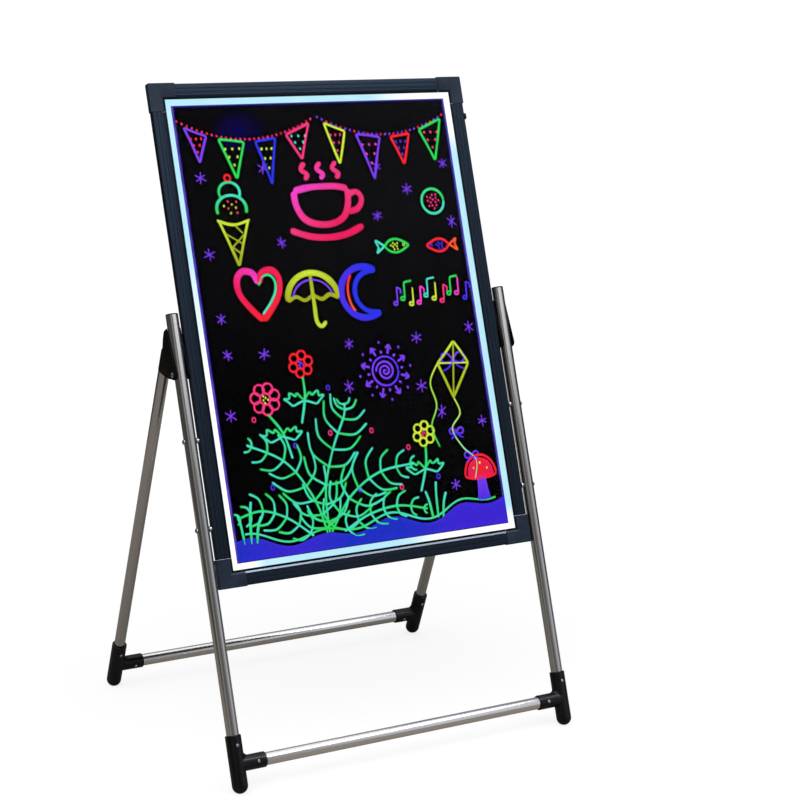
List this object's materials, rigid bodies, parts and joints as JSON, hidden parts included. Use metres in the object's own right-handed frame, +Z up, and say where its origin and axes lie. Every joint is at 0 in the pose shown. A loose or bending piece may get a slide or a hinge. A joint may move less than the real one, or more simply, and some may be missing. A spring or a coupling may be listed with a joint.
{
  "type": "led writing board",
  "caption": "Floor-standing edge-lit writing board in an aluminium frame, carried between the front tubes of a stainless A-frame stand whose rear frame folds flat.",
  "frame": {"origin": "on the floor, at the middle of the open stand's footprint", "axes": "+Z up, the board faces -Y and leans back, +X to the right of someone facing the board"},
  "size_m": [0.6576, 0.5498, 1.0894],
  "materials": {
    "polished_stainless_steel": "polished stainless steel tube, bright with soft reflections",
    "black_anodised_aluminium": "extruded aluminium, satin black anodised, slightly blue",
    "black_corner_plastic": "moulded black ABS, satin",
    "black_foot_plastic": "moulded black polypropylene, satin",
    "clear_acrylic": "clear cast acrylic over a black sheet, polished",
    "black_film": "black film",
    "white_border_film": "white film, lit by the lamps at the panel's edge",
    "grey_backing_board": "rigid plastic board",
    "white_strip_board": "white flexible circuit strip",
    "green_circuit_board": "circuit board with green mask",
    "zinc_plated_steel": "zinc plated steel"
  },
  "bodies": {
    "stand_and_board": {"backing_board": "grey_backing_board", "black_sheet": "black_film", "board_bolt_lower_left": "zinc_plated_steel", "board_bolt_lower_right": "zinc_plated_steel", "board_bolt_middle_left": "zinc_plated_steel", "board_bolt_middle_right": "zinc_plated_steel", "board_spacer_lower_left": "zinc_plated_steel", "board_spacer_lower_right": "zinc_plated_steel", "board_spacer_middle_left": "zinc_plated_steel", "board_spacer_middle_right": "zinc_plated_steel", "bottom_rail": "black_anodised_aluminium", "control_board": "green_circuit_board", "corner_cap_bottom_left": "black_corner_plastic", "corner_cap_bottom_right": "black_corner_plastic", "corner_cap_top_left": "black_corner_plastic", "corner_cap_top_right": "black_corner_plastic", "front_crossbar": "polished_stainless_steel", "front_foot_left": "black_foot_plastic", "front_foot_right": "black_foot_plastic", "front_foot_screw_bar_left": "zinc_plated_steel", "front_foot_screw_bar_right": "zinc_plated_steel", "front_foot_screw_leg_left": "zinc_plated_steel", "front_foot_screw_leg_right": "zinc_plated_steel", "front_leg_left": "polished_stainless_steel", "front_leg_right": "polished_stainless_steel", "hinge_bolt_left": "zinc_plated_steel", "hinge_bolt_right": "zinc_plated_steel", "hinge_washer_left": "black_foot_plastic", "hinge_washer_right": "black_foot_plastic", "led_strip_bottom": "white_strip_board", "led_strip_left": "white_strip_board", "led_strip_right": "white_strip_board", "led_strip_top": "white_strip_board", "left_rail": "black_anodised_aluminium", "leg_plug_left": "black_foot_plastic", "leg_plug_right": "black_foot_plastic", "light_border": "white_border_film", "power_inlet": "black_foot_plastic", "right_rail": "black_anodised_aluminium", "slot_nut_hinge_left": "zinc_plated_steel", "slot_nut_hinge_right": "zinc_plated_steel", "slot_nut_lower_left": "zinc_plated_steel", "slot_nut_lower_right": "zinc_plated_steel", "slot_nut_middle_left": "zinc_plated_steel", "slot_nut_middle_right": "zinc_plated_steel", "top_rail": "black_anodised_aluminium", "writing_panel": "clear_acrylic"},
    "rear_frame": {"hinge_arm_left": "black_foot_plastic", "hinge_arm_right": "black_foot_plastic", "rear_crossbar": "polished_stainless_steel", "rear_foot_left": "black_foot_plastic", "rear_foot_right": "black_foot_plastic", "rear_foot_screw_bar_left": "zinc_plated_steel", "rear_foot_screw_bar_right": "zinc_plated_steel", "rear_foot_screw_leg_left": "zinc_plated_steel", "rear_foot_screw_leg_right": "zinc_plated_steel", "rear_leg_left": "polished_stainless_steel", "rear_leg_right": "polished_stainless_steel"}
  },
  "joints": [
    {"name": "rear_frame_fold", "type": "hinge", "parent": "stand_and_board", "child": "rear_frame", "pos_m": [0, -0.03432, 0.63711], "axis": [-1, 0, 0], "range_deg": [0, 40.5]}
  ]
}
